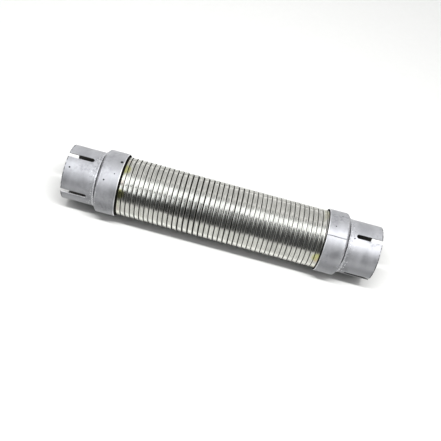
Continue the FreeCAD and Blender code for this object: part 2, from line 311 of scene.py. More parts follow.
class Shader:
    """A node tree in the making, with short calls for its nodes."""

    def __init__(self, tree: NodeTree) -> None:
        """Keeps the tree that gets the nodes."""
        self.tree = tree

    def feed(self, node: Node, inputs: dict) -> Node:
        """Sets a node's inputs to values or other nodes' results.

        Args:
            node: The node.
            inputs: Values or sockets, by the input's name or number.

        Returns:
            The node.
        """
        for name, value in inputs.items():
            if isinstance(value, NodeSocket):
                self.tree.links.new(value, node.inputs[name])
            else:
                node.inputs[name].default_value = value
        return node

    def add(self, kind: str, inputs: dict | None = None, **settings: object) -> Node:
        """Adds a node.

        Args:
            kind: The node's type, without the words ShaderNode.
            inputs: Values or sockets for its inputs, by name or number.
            settings: Properties of the node.

        Returns:
            The node.
        """
        node = self.tree.nodes.new("ShaderNode" + kind)
        for name, value in settings.items():
            setattr(node, name, value)
        return self.feed(node, inputs or {})

    def math(
        self, operation: str, first: Value, second: Value = 0.0, third: Value = 0.0, clamp: bool = False
    ) -> NodeSocket:
        """Adds a Math node on values or sockets and gives its result."""
        inputs = {0: first, 1: second, 2: third}
        return self.add("Math", inputs, operation=operation, use_clamp=clamp).outputs[0]

    def fold(self, operation: str, values: tuple[Value, ...]) -> Value:
        """Carries a Math operation through values or sockets, from the first to the last.

        Args:
            operation: The Math node's operation.
            values: The values or sockets.

        Returns:
            The last node's result.
        """
        total = values[0]
        for value in values[1:]:
            total = self.math(operation, total, value)
        return total

    def plus(self, *terms: Value) -> Value:
        """Adds values or sockets."""
        return self.fold("ADD", terms)

    def times(self, *factors: Value) -> Value:
        """Multiplies values or sockets."""
        return self.fold("MULTIPLY", factors)

    def most(self, *values: Value) -> Value:
        """Gives the largest of values or sockets."""
        return self.fold("MAXIMUM", values)

    def minus(self, first: Value, second: Value) -> NodeSocket:
        """Takes the second value from the first."""
        return self.math("SUBTRACT", first, second)

    def below(self, value: NodeSocket, limit: float) -> NodeSocket:
        """Is 1 where a value is less than a limit, and 0 elsewhere."""
        return self.math("LESS_THAN", value, limit)

    def above(self, value: NodeSocket, limit: float) -> NodeSocket:
        """Is 1 where a value is more than a limit, and 0 elsewhere."""
        return self.math("GREATER_THAN", value, limit)

    def ramp(
        self, value: NodeSocket, low: Value, high: Value, start: Value = 0.0, end: Value = 1.0
    ) -> NodeSocket:
        """Maps a value from low..high to start..end with soft, level ends."""
        inputs = {"Value": value, "From Min": low, "From Max": high, "To Min": start, "To Max": end}
        return self.add("MapRange", inputs, interpolation_type="SMOOTHSTEP").outputs["Result"]

    def fade(self, value: NodeSocket, low: float, high: float) -> NodeSocket:
        """Falls softly from 1 to 0 as a value goes from low to high."""
        return self.ramp(value, low, high, 1.0, 0.0)

    def between(self, value: NodeSocket, rise: Span, fall: Span) -> NodeSocket:
        """Rises from 0 to 1 over one span of a value and falls back to 0 over another."""
        return self.times(self.ramp(value, *rise), self.fade(value, *fall))

    def mix(self, share: Value, first: Tint, second: Tint) -> NodeSocket:
        """Mixes two colours by a share."""
        return self.add("Mix", {0: share, 6: first, 7: second}, data_type="RGBA").outputs[2]

    def noise(self, vector: NodeSocket, scale: Value, detail: float = 2.0, rough: float = 0.5) -> NodeSocket:
        """Adds a noise texture and gives its value, 0.5 on average."""
        inputs = {"Vector": vector, "Scale": scale, "Detail": detail, "Roughness": rough}
        return self.add("TexNoise", inputs).outputs["Fac"]

    def grain(self, vector: NodeSocket, scales: Triple, detail: float) -> NodeSocket:
        """Adds a noise with a scale of its own along each axis."""
        stretched = self.add("Mapping", {"Vector": vector, "Scale": scales}).outputs["Vector"]
        return self.noise(stretched, 1.0, detail, 0.6)

    def parts(self, vector: NodeSocket) -> list[NodeSocket]:
        """Gives a vector's x, y and z."""
        return list(self.add("SeparateXYZ", {0: vector}).outputs)


class EffectMaker(Shader):
    """A shared effect in the making: a group that turns a place and some amounts into a mask."""

    def __init__(self, name: str, amounts: dict[str, float]) -> None:
        """Starts the group.

        Args:
            name: The group's name.
            amounts: Its number inputs with their defaults.
        """
        super().__init__(bpy.data.node_groups.new(name, "ShaderNodeTree"))
        face = self.tree.interface
        face.new_socket("Place", in_out="INPUT", socket_type="NodeSocketVector")
        for word, value in amounts.items():
            face.new_socket(word, in_out="INPUT", socket_type="NodeSocketFloat").default_value = value
        face.new_socket("Mask", in_out="OUTPUT", socket_type="NodeSocketFloat")
        entry = self.tree.nodes.new("NodeGroupInput")
        self.given = {socket.name: socket for socket in entry.outputs if socket.name}

    def close(self, mask: NodeSocket) -> NodeTree:
        """Puts the mask out and gives the group."""
        self.feed(self.tree.nodes.new("NodeGroupOutput"), {"Mask": mask})
        return self.tree


class Effects:
    """Shader groups that more than one finish uses."""

    def __init__(self) -> None:
        """Builds each group once."""
        self.specks = self.make_specks()
        self.soiling = self.make_soiling()
        self.gaping = self.make_gaping()

    @staticmethod
    def make_specks() -> NodeTree:
        """Small round specks: a few of the cells of a Voronoi pattern, near their centres.

        Returns:
            The group, whose Mask is 1 in a speck.
        """
        work = EffectMaker("small_specks", {"Scale": 60.0, "Share": 0.1, "Size": 0.2})
        given = work.given
        cells = work.add("TexVoronoi", {"Vector": given["Place"], "Scale": given["Scale"]}).outputs
        lot = work.add("SeparateColor", {"Color": cells["Color"]}).outputs
        chosen = work.below(lot["Red"], given["Share"])
        width = work.times(given["Size"], work.plus(lot["Green"], 0.3))
        near = work.math("SUBTRACT", 1.0, work.math("DIVIDE", cells["Distance"], width), clamp=True)
        return work.close(work.times(chosen, work.ramp(near, 0.0, 0.5)))

    @staticmethod
    def make_soiling() -> NodeTree:
        """Handling dirt: soft smudges broken up by a finer pattern.

        Returns:
            The group, whose Mask grows with Amount.
        """
        work = EffectMaker("handling_dirt", {"Amount": 0.5, "Scale": 30.0})
        given = work.given
        wide = work.noise(given["Place"], given["Scale"], 3.0)
        small = work.noise(given["Place"], work.times(given["Scale"], 9.0), 4.0)
        both = work.times(work.ramp(wide, 0.48, 0.72), work.ramp(small, 0.35, 0.7))
        return work.close(work.math("MULTIPLY", both, given["Amount"], clamp=True))

    @staticmethod
    def make_gaping() -> NodeTree:
        """The side of the pipe where the seam between collar and weld gapes: up and to the front. The
        painted shade in the neck's crease is held to this side.

        Returns:
            The group, whose Mask is 1 on that side.
        """
        work = EffectMaker("gaping_side", {"Start": 0.034, "Full": 0.043})
        given = work.given
        inputs = {0: given["Place"], 1: GAPING_SIDE}
        facing = work.add("VectorMath", inputs, operation="DOT_PRODUCT").outputs["Value"]
        return work.close(work.ramp(facing, given["Start"], given["Full"]))


@dataclass(frozen=True)
class Blemish:
    """A small mark on the surface, at a place along, a turn in degrees and a radius.

    Its middle is full up to the firm share of its size.
    """

    along: float
    turn: float
    radius: float
    size: float
    firm: float = 0.45

    def mask(self, work: Shader, place: NodeSocket) -> NodeSocket:
        """Is 1 near the mark's middle and fades to 0 at its size.

        Args:
            work: The shader that gets the nodes.
            place: The piece's own coordinates.

        Returns:
            The mask.
        """
        spot = on_pipe(self.along, self.radius, math.radians(self.turn)).tolist()
        away = work.add("VectorMath", {0: place, 1: spot}, operation="DISTANCE").outputs["Value"]
        return work.fade(away, self.firm * self.size, self.size)


class Coat(Shader):
    """A material in the making: its place on the pipe and the colour laid so far.

    Its reach and radius are in millimetres, its place and chart in metres.
    """

    def __init__(self, name: str) -> None:
        """Starts the material.

        Args:
            name: The material's name.
        """
        self.material = bpy.data.materials.new(name)
        self.material.use_nodes = True
        super().__init__(self.material.node_tree)
        self.place = self.add("TexCoord").outputs["Object"]
        self.colour: Tint = shade(0.0, 0.0, 0.0)

    @cached_property
    def reach(self) -> NodeSocket:
        """The distance from the middle of the pipe along its axis."""
        return self.times(self.math("ABSOLUTE", self.parts(self.place)[0]), TO_MM)

    @cached_property
    def radius(self) -> NodeSocket:
        """The distance from the pipe's axis."""
        across = self.add("VectorMath", {0: self.place, 1: (0.0, TO_MM, TO_MM)}, operation="MULTIPLY")
        return self.add("VectorMath", {0: across.outputs[0]}, operation="LENGTH").outputs["Value"]

    @cached_property
    def chart(self) -> list[NodeSocket]:
        """The piece's two map coordinates, and a zero."""
        return self.parts(self.add("UVMap", uv_map=MAP_NAME).outputs["UV"])

    def effect(self, group: NodeTree, **amounts: float) -> NodeSocket:
        """Places a shared effect with its own amounts and gives its mask."""
        node = self.add("Group", node_tree=group)
        return self.feed(node, {"Place": self.place, **amounts}).outputs["Mask"]

    def marks(self, blemishes: tuple[Blemish, ...]) -> Value:
        """Gives the mask of several blemishes."""
        return self.most(*(blemish.mask(self, self.place) for blemish in blemishes))

    def cover(self, share: Value, colour: Tint) -> None:
        """Lays a colour over what is there, as far as a mask goes."""
        self.colour = self.mix(share, self.colour, colour)

    def bump(self, height: NodeSocket, strength: float, depth: float) -> NodeSocket:
        """Gives the normal of a fine relief."""
        inputs = {"Height": height, "Strength": strength, "Distance": depth}
        return self.add("Bump", inputs).outputs["Normal"]

    def finish(self, inputs: dict) -> Material:
        """Gives the surface its colour and its other inputs, and gives the material."""
        self.feed(self.tree.nodes["Principled BSDF"], {"Base Color": self.colour, **inputs})
        return self.material


@dataclass(frozen=True)
class SilverPaint:
    """Silver heat paint, sprayed in a thin coat over the fittings.

    A length without MM is in millimetres, as the coat's reach and radius are.
    """

    effects: Effects
    light: Colour = shade(0.455, 0.458, 0.48)
    dark: Colour = shade(0.345, 0.348, 0.368)
    flake: Colour = shade(0.56, 0.563, 0.58)
    # Painted shade laid over the paint low on the pipe, darker towards the bottom.
    underside_shade: Colour = shade(0.208, 0.211, 0.224)
    # Unpainted steel of the bore and the slots' cut faces, darkened to near black as painted shade.
    bare: Colour = shade(0.04, 0.038, 0.036)
    # Dark colour of dirt and marks, also laid as painted shade in the neck's crease and the collar's throat.
    grime_and_shade: Colour = shade(0.03, 0.03, 0.032)
    # Bright colour of the painted highlights, and of the weld spatter's drops.
    edge: Colour = shade(0.82, 0.82, 0.84)
    spatter: Colour = shade(0.13, 0.13, 0.135)
    roughness: float = 0.49
    metallic: float = 0.96
    orange_peel: float = 0.35 * MM
    streak: Triple = (46.0, 16.0, 22.0)
    underside_shade_heights: Span = (0.10, 0.46)
    underside_shade_share: float = 0.85
    collar_mouth: float = 199.0
    collar_radius: float = 61.0
    # Where the painted highlight lies past each collar's mouth.
    rim_highlight: Span = (0.7, 1.7)
    # Where the painted shade on the collar's inside lies.
    throat_shade_radius: float = 60.4
    throat_shade_end: float = 235.19
    neck: float = 240.79
    # Where the painted shade in the neck's crease lies, from the neck.
    crease_rise: Span = (-0.9, -0.5)
    crease_fall: Span = (1.4, 1.8)
    dusted_rise: Span = (231.0, 241.0)
    dusted_fall: Span = (243.0, 262.0)
    tube_mouth: float = 305.39
    worn_lip: Span = (2.4, 1.3)
    bore: float = 52.85
    overspray: Span = (0.5, 1.5)
    # Where the painted highlight on the step in the tubes' mouths lies.
    ledge_depth: float = 1.0
    ledge_heights: Span = (2.4, 4.6)
    ledge_radius: float = 51.3
    seam_line: float = 0.5 * MM
    blemishes: tuple[Blemish, ...] = (
        Blemish(-295.6 * MM, 27.2, 53.0 * MM, 2.3 * MM),
        Blemish(-226.5 * MM, 34.0, 61.8 * MM, 2.2 * MM),
        Blemish(-210.4 * MM, 19.3, 61.8 * MM, 1.5 * MM),
        Blemish(-204.5 * MM, -7.0, 61.8 * MM, 3.2 * MM, 0.75),
        Blemish(223.0 * MM, -21.5, 61.8 * MM, 1.6 * MM),
        Blemish(212.3 * MM, 5.4, 61.8 * MM, 1.5 * MM),
        Blemish(252.2 * MM, 15.7, 53.0 * MM, 1.9 * MM),
    )

    def spray(self, coat: Coat, streaks: NodeSocket, fine: NodeSocket, flake: NodeSocket) -> None:
        """Lays the paint: streaks of light and dark, bright flakes, and painted shade that darkens it
        towards the bottom.

        Args:
            coat: The material in the making.
            streaks: A wide, stretched noise.
            fine: A fine noise.
            flake: A very fine noise.
        """
        coat.colour = coat.mix(coat.ramp(streaks, 0.3, 0.7), self.dark, self.light)
        coat.cover(coat.ramp(flake, 0.4, 0.8, 0.0, 0.35), self.flake)
        coat.cover(coat.ramp(fine, 0.5, 0.8, 0.0, 0.3), self.dark)
        # Painted shade: the paint darkens towards the bottom, by its height over the axis.
        height_share = coat.times(coat.math("DIVIDE", coat.parts(coat.place)[2], coat.radius), TO_MM)
        coat.cover(coat.ramp(height_share, *self.underside_shade_heights, self.underside_shade_share, 0.0), self.underside_shade)

    def paint_highlights_and_bore_shade(self, coat: Coat) -> None:
        """Lays a painted highlight along the collars' mouths, and another on the lit step in the tubes'
        mouths.

        The step is a narrow stretch of the bore at the front. The rest of the bore has no paint, and is
        darkened far past steel with painted shade.

        Args:
            coat: The material in the making.
        """
        # Painted highlight: a bright, patchy band along the outside of each collar's mouth.
        start, end = (self.collar_mouth + step for step in self.rim_highlight)
        patchy = coat.ramp(coat.noise(coat.place, 60.0), 0.3, 0.6, 0.15, 0.9)
        outside = coat.above(coat.radius, self.collar_radius)
        coat.cover(coat.times(coat.fade(coat.reach, start, end), patchy, outside), self.edge)
        _, front, height = coat.parts(coat.place)
        low, high = (limit * MM for limit in self.ledge_heights)
        depth = coat.minus(self.tube_mouth, coat.reach)
        deep, wide = coat.above(depth, self.ledge_depth), coat.above(coat.radius, self.ledge_radius)
        level = coat.times(coat.above(height, low), coat.below(height, high))
        # Painted highlight on a narrow step at the front of each tube's mouth.
        ledge_highlight = coat.times(coat.below(front, 0.0), level, deep, wide)
        inside = coat.below(coat.radius, self.bore)
        coat.cover(coat.times(inside, ledge_highlight), self.edge)
        # Bare steel of the bore and cut faces, with painted shade that makes it near black.
        unpainted_and_shaded = coat.times(inside, coat.minus(1.0, ledge_highlight), coat.ramp(depth, *self.overspray))
        coat.cover(unpainted_and_shaded, self.bare)

    def dust(self, coat: Coat) -> None:
        """Lays dark grains and bright drops of weld spatter round the neck.

        Args:
            coat: The material in the making.
        """
        dusted = coat.times(coat.between(coat.reach, self.dusted_rise, self.dusted_fall), 0.8)
        grains = coat.effect(self.effects.specks, Scale=400.0, Share=0.55, Size=0.5)
        coat.cover(coat.times(grains, dusted), self.spatter)
        drops = coat.effect(self.effects.specks, Scale=330.0, Share=0.4, Size=0.45)
        coat.cover(coat.times(drops, dusted), self.edge)

    def grime_and_shade_mask(self, coat: Coat) -> Value:
        """Gives the mask of grime and of painted shade: specks, marks, worn lip and seam line, with painted
        shade in the gaping crease and in the collar's throat.

        Args:
            coat: The material in the making.

        Returns:
            The mask.
        """
        place, reach = coat.place, coat.reach
        specks = coat.effect(self.effects.specks, Scale=45.0, Share=0.12, Size=0.05)
        worn = coat.ramp(coat.noise(place, 150.0, 3.0, 0.6), 0.36, 0.6)
        lip = coat.times(coat.ramp(reach, *(self.tube_mouth - step for step in self.worn_lip)), worn, 0.8)
        wavy = coat.minus(coat.plus(reach, coat.times(coat.noise(place, 130.0), 1.6)), self.neck)
        gaping = coat.effect(self.effects.gaping)
        # Painted shade in the crease between the collar's rim and the weld, on the side up and to the front.
        crease = coat.times(coat.between(wavy, self.crease_rise, self.crease_fall), gaping, 0.96)
        # Painted shade on the collar's inside, which shows as a dark gap round its mouth.
        throat_shade = coat.times(coat.below(coat.radius, self.throat_shade_radius), coat.below(reach, self.throat_shade_end))
        line = coat.fade(coat.math("ABSOLUTE", coat.chart[0]), 0.5 * self.seam_line, self.seam_line)
        seam = coat.times(line, coat.ramp(coat.noise(place, 190.0), 0.35, 0.5), 0.75)
        return coat.most(specks, coat.marks(self.blemishes), lip, crease, throat_shade, seam)

    def material(self) -> Material:
        """Builds the paint, layer by layer.

        Returns:
            The material for collars and tubes.
        """
        coat = Coat("silver_heat_paint")
        streaks = coat.grain(coat.place, self.streak, 4.0)
        fine = coat.noise(coat.place, 420.0, 3.0, 0.6)
        flake = coat.noise(coat.place, 1900.0, 1.0)
        self.spray(coat, streaks, fine, flake)
        dirt = coat.effect(self.effects.soiling, Amount=0.3, Scale=22.0)
        coat.cover(dirt, self.grime_and_shade)
        self.paint_highlights_and_bore_shade(coat)
        self.dust(coat)
        grime_and_shade_amount = self.grime_and_shade_mask(coat)
        # Lays grime and painted shade in one dark colour.
        coat.cover(grime_and_shade_amount, self.grime_and_shade)
        rough = coat.plus(coat.ramp(flake, 0.3, 0.7, -0.05, 0.05), coat.ramp(streaks, 0.3, 0.7, -0.04, 0.06))
        dull = coat.times(coat.most(dirt, grime_and_shade_amount), 0.3)
        rough = coat.math("ADD", coat.plus(rough, self.roughness), dull, clamp=True)
        height = coat.plus(coat.times(fine, 0.7), coat.times(flake, 0.3))
        normal = coat.bump(height, 0.25, self.orange_peel)
        return coat.finish({"Roughness": rough, "Metallic": self.metallic, "Normal": normal})


@dataclass(frozen=True)
class BrightStrip:
    """Bright rolled strip of the hose, with painted shade in its gaps and round the collars' mouths, and
    heat tint by the collars.

    A length without MM is in millimetres, as the coat's reach and radius are.
    """

    effects: Effects
    light: Colour = shade(0.675, 0.67, 0.63)
    dull: Colour = shade(0.385, 0.385, 0.36)
    # Dark colour of dirt and marks, also laid as painted shade in the gaps and round the collars' mouths.
    grime_and_shade: Colour = shade(0.02, 0.019, 0.016)
    olive: Colour = shade(0.42, 0.42, 0.14)
    rose: Colour = shade(0.50, 0.37, 0.32)
    drawn_lines: Triple = (30.0, 850.0, 1.0)
    hair_lines: Triple = (90.0, 3600.0, 1.0)
    patches: Triple = (70.0, 190.0, 1.0)
    line_depth: float = 0.12 * MM
    pitch: float = 9.1 * MM
    land_start: float = 0.9 * MM
    land_end: float = 8.02 * MM
    edge_width: float = 1.9 * MM
    soft: float = 0.25 * MM
    collar_mouth: float = 199.0
    tint_reach: float = 15.0
    # Where the painted shade round each collar's mouth starts and is full.
    ring_shade_rise: Span = (198.0, 198.6)
    inlet_gain: float = 2.6
    bore: float = 55.0
    blemishes: tuple[Blemish, ...] = (
        Blemish(-189.3 * MM, -0.5, 57.4 * MM, 1.5 * MM),
        Blemish(-79.4 * MM, -14.0, 57.4 * MM, 1.3 * MM),
        Blemish(195.5 * MM, -44.0, 57.4 * MM, 2.6 * MM),
    )
    heat_spots: tuple[Blemish, ...] = (
        Blemish(-194.0 * MM, 2.0, 57.4 * MM, 13.0 * MM),
        Blemish(-193.0 * MM, 52.0, 57.4 * MM, 12.0 * MM),
        Blemish(194.5 * MM, 74.0, 57.4 * MM, 14.0 * MM),
    )

    def tint(self, coat: Coat) -> None:
        """Lays olive and rose heat tint by the collars, in patches and at the heat spots.

        Args:
            coat: The material in the making.
        """
        near = coat.fade(coat.minus(self.collar_mouth, coat.reach), 0.0, self.tint_reach)
        mottled = coat.ramp(coat.noise(coat.place, 27.0, 3.0, 0.6), 0.42, 0.6)
        spots = coat.times(coat.marks(self.heat_spots), 0.8)
        coat.cover(coat.most(coat.times(near, mottled, 0.35), spots), self.olive)
        flushed = coat.ramp(coat.noise(coat.place, 41.0), 0.52, 0.68)
        coat.cover(coat.times(near, flushed, 0.6), self.rose)

    def grime_and_shade_mask(self, coat: Coat, across: NodeSocket) -> Value:
        """Gives the mask of dirt, marks, and painted shade in the gaps and in a ragged ring at each collar.

        Args:
            coat: The material in the making.
            across: The place across one turn of the strip.

        Returns:
            The mask.
        """
        dirt = coat.times(coat.effect(self.effects.soiling, Amount=0.4, Scale=26.0), 0.5)
        specks = coat.effect(self.effects.specks, Scale=70.0, Share=0.10, Size=0.07)
        rise = (self.land_start - self.soft, self.land_start)
        land = coat.between(across, rise, (self.land_end, self.land_end + self.soft))
        # Painted shade in the gap between turns of the strip.
        gap = coat.times(coat.minus(1.0, land), coat.above(coat.radius, self.bore))
        at_inlet = coat.times(coat.below(coat.parts(coat.place)[0], 0.0), self.inlet_gain)
        ragged = coat.times(coat.noise(coat.place, 160.0, 3.0, 0.6), 1.2)
        # Painted shade: a ragged dark ring on the hose at each collar's mouth, wider at the inlet.
        ring = coat.ramp(coat.plus(coat.reach, ragged, at_inlet), *self.ring_shade_rise)
        return coat.most(dirt, specks, coat.marks(self.blemishes), gap, ring)

    def material(self) -> Material:
        """Builds the strip's steel, rougher at the worn edges of each turn.

        Returns:
            The material for the hose.
        """
        coat = Coat("bright_rolled_strip")
        along, width, _ = coat.chart
        across = coat.math("WRAP", width, self.pitch)
        strip = coat.add("CombineXYZ", {0: along, 1: across}).outputs[0]
        drawn = coat.grain(strip, self.drawn_lines, 3.0)
        coat.colour = coat.mix(coat.ramp(drawn, 0.32, 0.68), self.dull, self.light)
        coat.cover(coat.ramp(coat.grain(strip, self.patches, 3.0), 0.5, 0.8, 0.0, 0.4), self.dull)
        self.tint(coat)
        grime_and_shade_amount = self.grime_and_shade_mask(coat, across)
        # Lays grime and painted shade in one dark colour.
        coat.cover(grime_and_shade_amount, self.grime_and_shade)
        rise = (self.land_start, self.land_start + self.edge_width)
        middle = coat.between(across, rise, (self.land_end - self.edge_width, self.land_end))
        worn = coat.times(coat.minus(1.0, middle), 0.14)
        rough = coat.plus(coat.ramp(drawn, 0.25, 0.75, 0.11, 0.24), worn)
        rough = coat.math("ADD", rough, coat.times(grime_and_shade_amount, 0.4), clamp=True)
        hair = coat.grain(strip, self.hair_lines, 2.0)
        normal = coat.bump(coat.plus(coat.times(drawn, 0.8), coat.times(hair, 0.2)), 0.3, self.line_depth)
        return coat.finish({"Roughness": rough, "Metallic": 1.0, "Normal": normal})


@dataclass(frozen=True)
class WeldFinish:
    """A weld bead, under silver paint or bare. The shaded crease is where painted shade darkens it, in
    millimetres.
    """

    effects: Effects
    name: str
    crest: Colour
    # Dark colour of the bead's pits, also laid as painted shade against the collar.
    pit_and_shade: Colour
    metallic: float
    roughness: float
    crease: float = 241.8
    crease_width: float = 0.5
    crust_depth: float = 0.5 * MM

    def material(self) -> Material:
        """Builds the bead's skin, darker in its pits, and darkened against the collar with painted shade.

        Returns:
            The material for weld rings.
        """
        coat = Coat(self.name)
        crust = coat.noise(coat.place, 700.0, 4.0, 0.65)
        coat.colour = coat.mix(coat.ramp(crust, 0.3, 0.55), self.pit_and_shade, self.crest)
        pits = coat.effect(self.effects.specks, Scale=380.0, Share=0.35, Size=0.35)
        # Painted shade against the collar's rim, on the side up and to the front.
        sway = coat.math("MULTIPLY_ADD", coat.noise(coat.place, 55.0), -3.0, third=1.5)
        deep = coat.fade(coat.plus(coat.reach, sway), self.crease, self.crease + self.crease_width)
        patchy = coat.ramp(coat.noise(coat.place, 150.0, 3.0, 0.6), 0.3, 0.5, 0.4, 1.0)
        gaping = coat.math("MULTIPLY_ADD", coat.effect(self.effects.gaping), 0.87, third=0.1)
        coat.cover(coat.most(coat.times(pits, 0.4), coat.times(deep, patchy, gaping)), self.pit_and_shade)
        rough = coat.ramp(crust, 0.2, 0.8, self.roughness + 0.15, self.roughness - 0.1)
        normal = coat.bump(crust, 0.5, self.crust_depth)
        return coat.finish({"Roughness": rough, "Metallic": self.metallic, "Normal": normal})


@dataclass
class WoundHose:
    """The hose: one strip wound right-handed about +X, each turn a land with a gap after it."""

    skin: Material
    name: str = "wound_hose"
    node: str = "interlock_hose"
    cover: float = 4.2 * MM
    close_pitch: float = 9.1 * MM
    spreads: tuple[Triple, ...] = (
        (-63.2 * MM, 39.5 * MM, 1.37 * MM),
        (14.7 * MM, 15.0 * MM, 1.0 * MM),
    )
    land_width: float = 7.85 * MM
    gap_lead: float = 0.7 * MM
    foot_place: float = 0.63 * MM
    heel_gap: float = 0.07 * MM
    gap_depth: float = 1.6 * MM
    lead_bend: float = 0.4 * MM
    tail_bend: float = 0.7 * MM
    rise: float = 0.7 * MM
    crown: float = 0.06 * MM
    bore_radius: float = 53.1 * MM
    bore_groove: float = 0.8 * MM
    bore_land: Span = (3.9 * MM, 11.2 * MM)
    groove_bend: Span = (0.2 * MM, 0.15 * MM)
    groove_rise: float = 0.6 * MM
    land_shares: tuple[float, ...] = (0.08, 0.22, 0.4, 0.6, 0.78, 0.92)
    seed: int = 7
    waves: tuple[float, ...] = (3.7, 8.3, 13.9)
    wave_heights: tuple[float, ...] = (0.07 * MM, 0.06 * MM, 0.04 * MM)
    round_steps: int = 96
    end_fade: float = 4.0 * MM

    def feet(self) -> np.ndarray:
        """Gives where each turn of the strip starts along X, under the pipe.

        A turn's pitch is the close pitch plus a bell-shaped gain at each drawn-out stretch, taken
        at the place where the turn starts. The last turn starts inside the outlet collar.

        Returns:
            Places along X, with one more after the last turn.
        """
        places = [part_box("inlet_collar")[1].x - self.cover]
        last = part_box("outlet_collar")[0].x + self.close_pitch
        while places[-1] < last:
            here = places[-1]
            drawn_out = (gain * math.exp(-(((here - at) / reach) ** 2)) for at, reach, gain in self.spreads)
            places.append(here + self.close_pitch + sum(drawn_out))
        return np.array(places)

    def land_outline(self, top: float) -> np.ndarray:
        """Draws one turn from gap to gap: a small bend up, a crowned land that rises, a rolled tail.

        Args:
            top: The largest radius.

        Returns:
            Points as distance along X from the gap's middle, and radius.
        """
        start, end = self.gap_lead, self.gap_lead + self.land_width
        root = top - self.gap_depth
        high = top - self.crown
        low = high - self.rise
        lead = np.radians(np.linspace(180, 90, 4))
        tail = np.radians(np.linspace(90, 0, 5))
        lead_arc = np.stack((np.cos(lead), np.sin(lead)), axis=-1) * self.lead_bend
        tail_arc = np.stack((np.cos(tail), np.sin(tail)), axis=-1) * self.tail_bend
        lead_points = np.array((start + self.lead_bend, low - self.lead_bend)) + lead_arc
        tail_points = np.array((end - self.tail_bend, high - self.tail_bend)) + tail_arc
        share = np.array(self.land_shares)
        flat = lead_points[-1] + share[:, None] * (tail_points[0] - lead_points[-1])
        flat[:, 1] += self.crown * (1 - (2 * share - 1) ** 2)
        foot = np.array(((self.foot_place, root),))
        heel = np.array(((end + self.heel_gap, root),))
        return np.concatenate((foot, lead_points, flat, tail_points, heel))

    def bore_outline(self) -> np.ndarray:
        """Draws the inside of one turn: a plain land between two shallow grooves.

        Returns:
            Points as distance along X from the gap's middle, and radius.
        """
        start, end = self.bore_land
        step, height = self.groove_bend
        rise = ((0.0, self.bore_groove), (step, height), (self.groove_rise, 0.0))
        left = [(start + step, self.bore_radius + height) for step, height in rise]
        right = [(end - step, self.bore_radius + height) for step, height in reversed(rise)]
        return np.array(left + right)

    def unevenness(self, turns: np.ndarray) -> np.ndarray:
        """Gives how far the strip sinks at a turn: slow sines along its length, never above 0.

        Args:
            turns: How many turns of the strip lie before each point.

        Returns:
            The change of radius at each.
        """
        random = np.random.default_rng(self.seed)
        total = np.zeros_like(turns)
        for count, height in zip(self.waves, self.wave_heights):
            total += height * (np.sin(FULL_TURN * count * turns + random.uniform(0, FULL_TURN)) - 1)
        return total

    def wind(self, outline: np.ndarray, plain: float) -> tuple[np.ndarray, np.ndarray]:
        """Carries an outline along the helix, line by line.

        A line starts under the pipe and gains one turn as it goes round, so it ends where the
        same line of the next turn starts. Past the wound length a line is held at its end.

        Args:
            outline: One turn's points, as distance along X and radius.
            plain: The radius that the skin fades to at the ends.

        Returns:
            Points and map coordinates, rows round the pipe and columns along it.
        """
        feet = self.feet()
        across = len(outline)
        line = np.arange((len(feet) + 2) * across)
        share = np.linspace(0.0, 1.0, self.round_steps + 1)[:, None]
        turns = line // across - 2 + share
        before = feet[0] + self.close_pitch * np.array((-2, -1))
        known = np.concatenate((before, feet, feet[-1:] + self.close_pitch))
        along = np.interp(turns, np.arange(len(known)) - 2, known) + outline[line % across, 0]
        held = np.clip(along, feet[0], feet[-1])
        keep = smooth_step(np.minimum(held - feet[0], feet[-1] - held) / self.end_fade)
        radius = plain + (outline[line % across, 1] + self.unevenness(turns) - plain) * keep
        points = on_pipe(held, radius, math.pi + share * FULL_TURN)
        width = outline[line % across, 0] + (line // across) * self.close_pitch
        return points, on_chart(turns * FULL_TURN * plain, width)

    def build(self) -> Object:
        """Builds the hose as one closed skin, outside, inside and both rims.

        Returns:
            The hose.
        """
        low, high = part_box(self.node)
        top, bore = high.z, self.bore_radius
        root = top - self.gap_depth
        outside, outside_chart = self.wind(self.land_outline(top), root)
        inside, inside_chart = self.wind(self.bore_outline(), bore)
        turn = math.pi + np.linspace(0.0, FULL_TURN, self.round_steps + 1)[:, None]
        corners = ((low.x, root), (high.x, root), (high.x, bore), (low.x, bore))
        rims = [on_pipe(np.full_like(turn, x), radius, turn) for x, radius in corners]
        blank = np.zeros((self.round_steps + 1, 1, 2))
        points = (rims[0], outside, rims[1], rims[2], inside[:, ::-1], rims[3], rims[0])
        chart = (blank, outside_chart, blank, blank, inside_chart[:, ::-1], blank, blank)
        mesh = Skin(self.name)
        mesh.add_grid(np.concatenate(points, axis=1), np.concatenate(chart, axis=1))
        return dress(mesh.finish(), self.skin, self.node)


@dataclass
class EndPiece:
    """A piece of one end of the pipe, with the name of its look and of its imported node."""

    end: End
    skin: Material
    look: ClassVar[str]
    part: ClassVar[str]
    slot: ClassVar[Slot]

    @property
    def node(self) -> str:
        """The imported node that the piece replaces."""
        return f"{self.end.word}_{self.part}"

    @property
    def box(self) -> Box:
        """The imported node's box."""
        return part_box(self.node)

    def start(self) -> Skin:
        """Starts the piece's mesh."""
        return Skin(f"{self.end.word}_{self.look}")

    def close(self, piece: Object) -> Object:
        """Dresses the finished mesh and gives it."""
        return dress(piece, self.skin, self.node)


